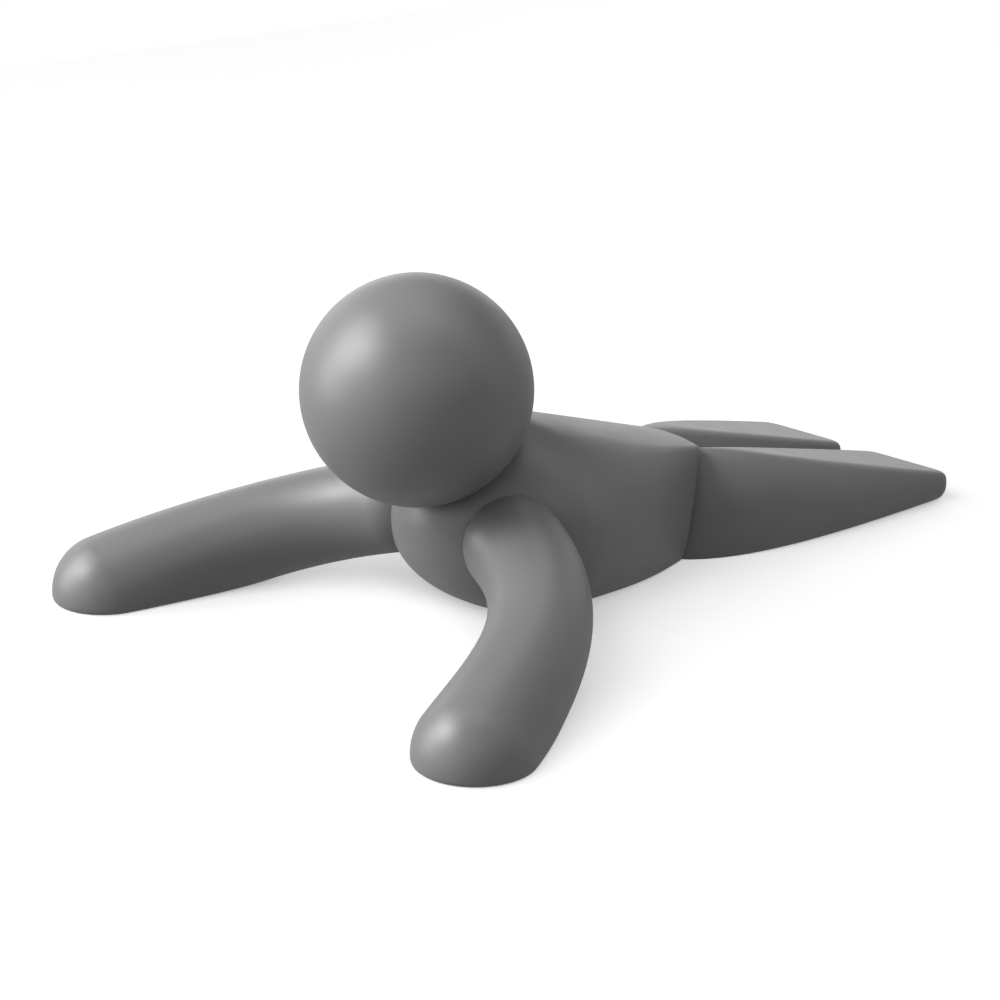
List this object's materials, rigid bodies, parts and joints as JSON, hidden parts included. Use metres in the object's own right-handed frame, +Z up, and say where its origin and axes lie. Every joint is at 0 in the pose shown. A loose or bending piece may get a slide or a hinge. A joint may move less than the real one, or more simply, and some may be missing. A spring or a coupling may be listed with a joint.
{
  "type": "door wedge",
  "caption": "Rubber door wedge in the form of a faceless figure lying face down, its legs tapering to flat-topped wedges that go under a door.",
  "frame": {"origin": "on the floor, under the middle of the object's length and width", "axes": "+Z up from the floor, +Y towards the toe ends, which go under the door, +X towards the figure's left arm"},
  "size_m": [0.119, 0.1648, 0.0637],
  "materials": {
    "skin_rubber": "satin, finely textured",
    "grip_rubber": "matt",
    "core_plastic": "matt",
    "plate_plastic": "matt",
    "weight_steel": "sawn and tumbled",
    "fastener_steel": "zinc plated"
  },
  "bodies": {
    "root": {"torso": "skin_rubber", "head": "skin_rubber", "left_arm": "skin_rubber", "right_arm": "skin_rubber", "left_leg": "skin_rubber", "right_leg": "skin_rubber", "grip_pad": "grip_rubber", "core_frame": "core_plastic", "head_core": "core_plastic", "belly_plate": "plate_plastic", "weight": "weight_steel", "neck_stud": "fastener_steel", "plate_screws": "fastener_steel"}
  },
  "joints": []
}
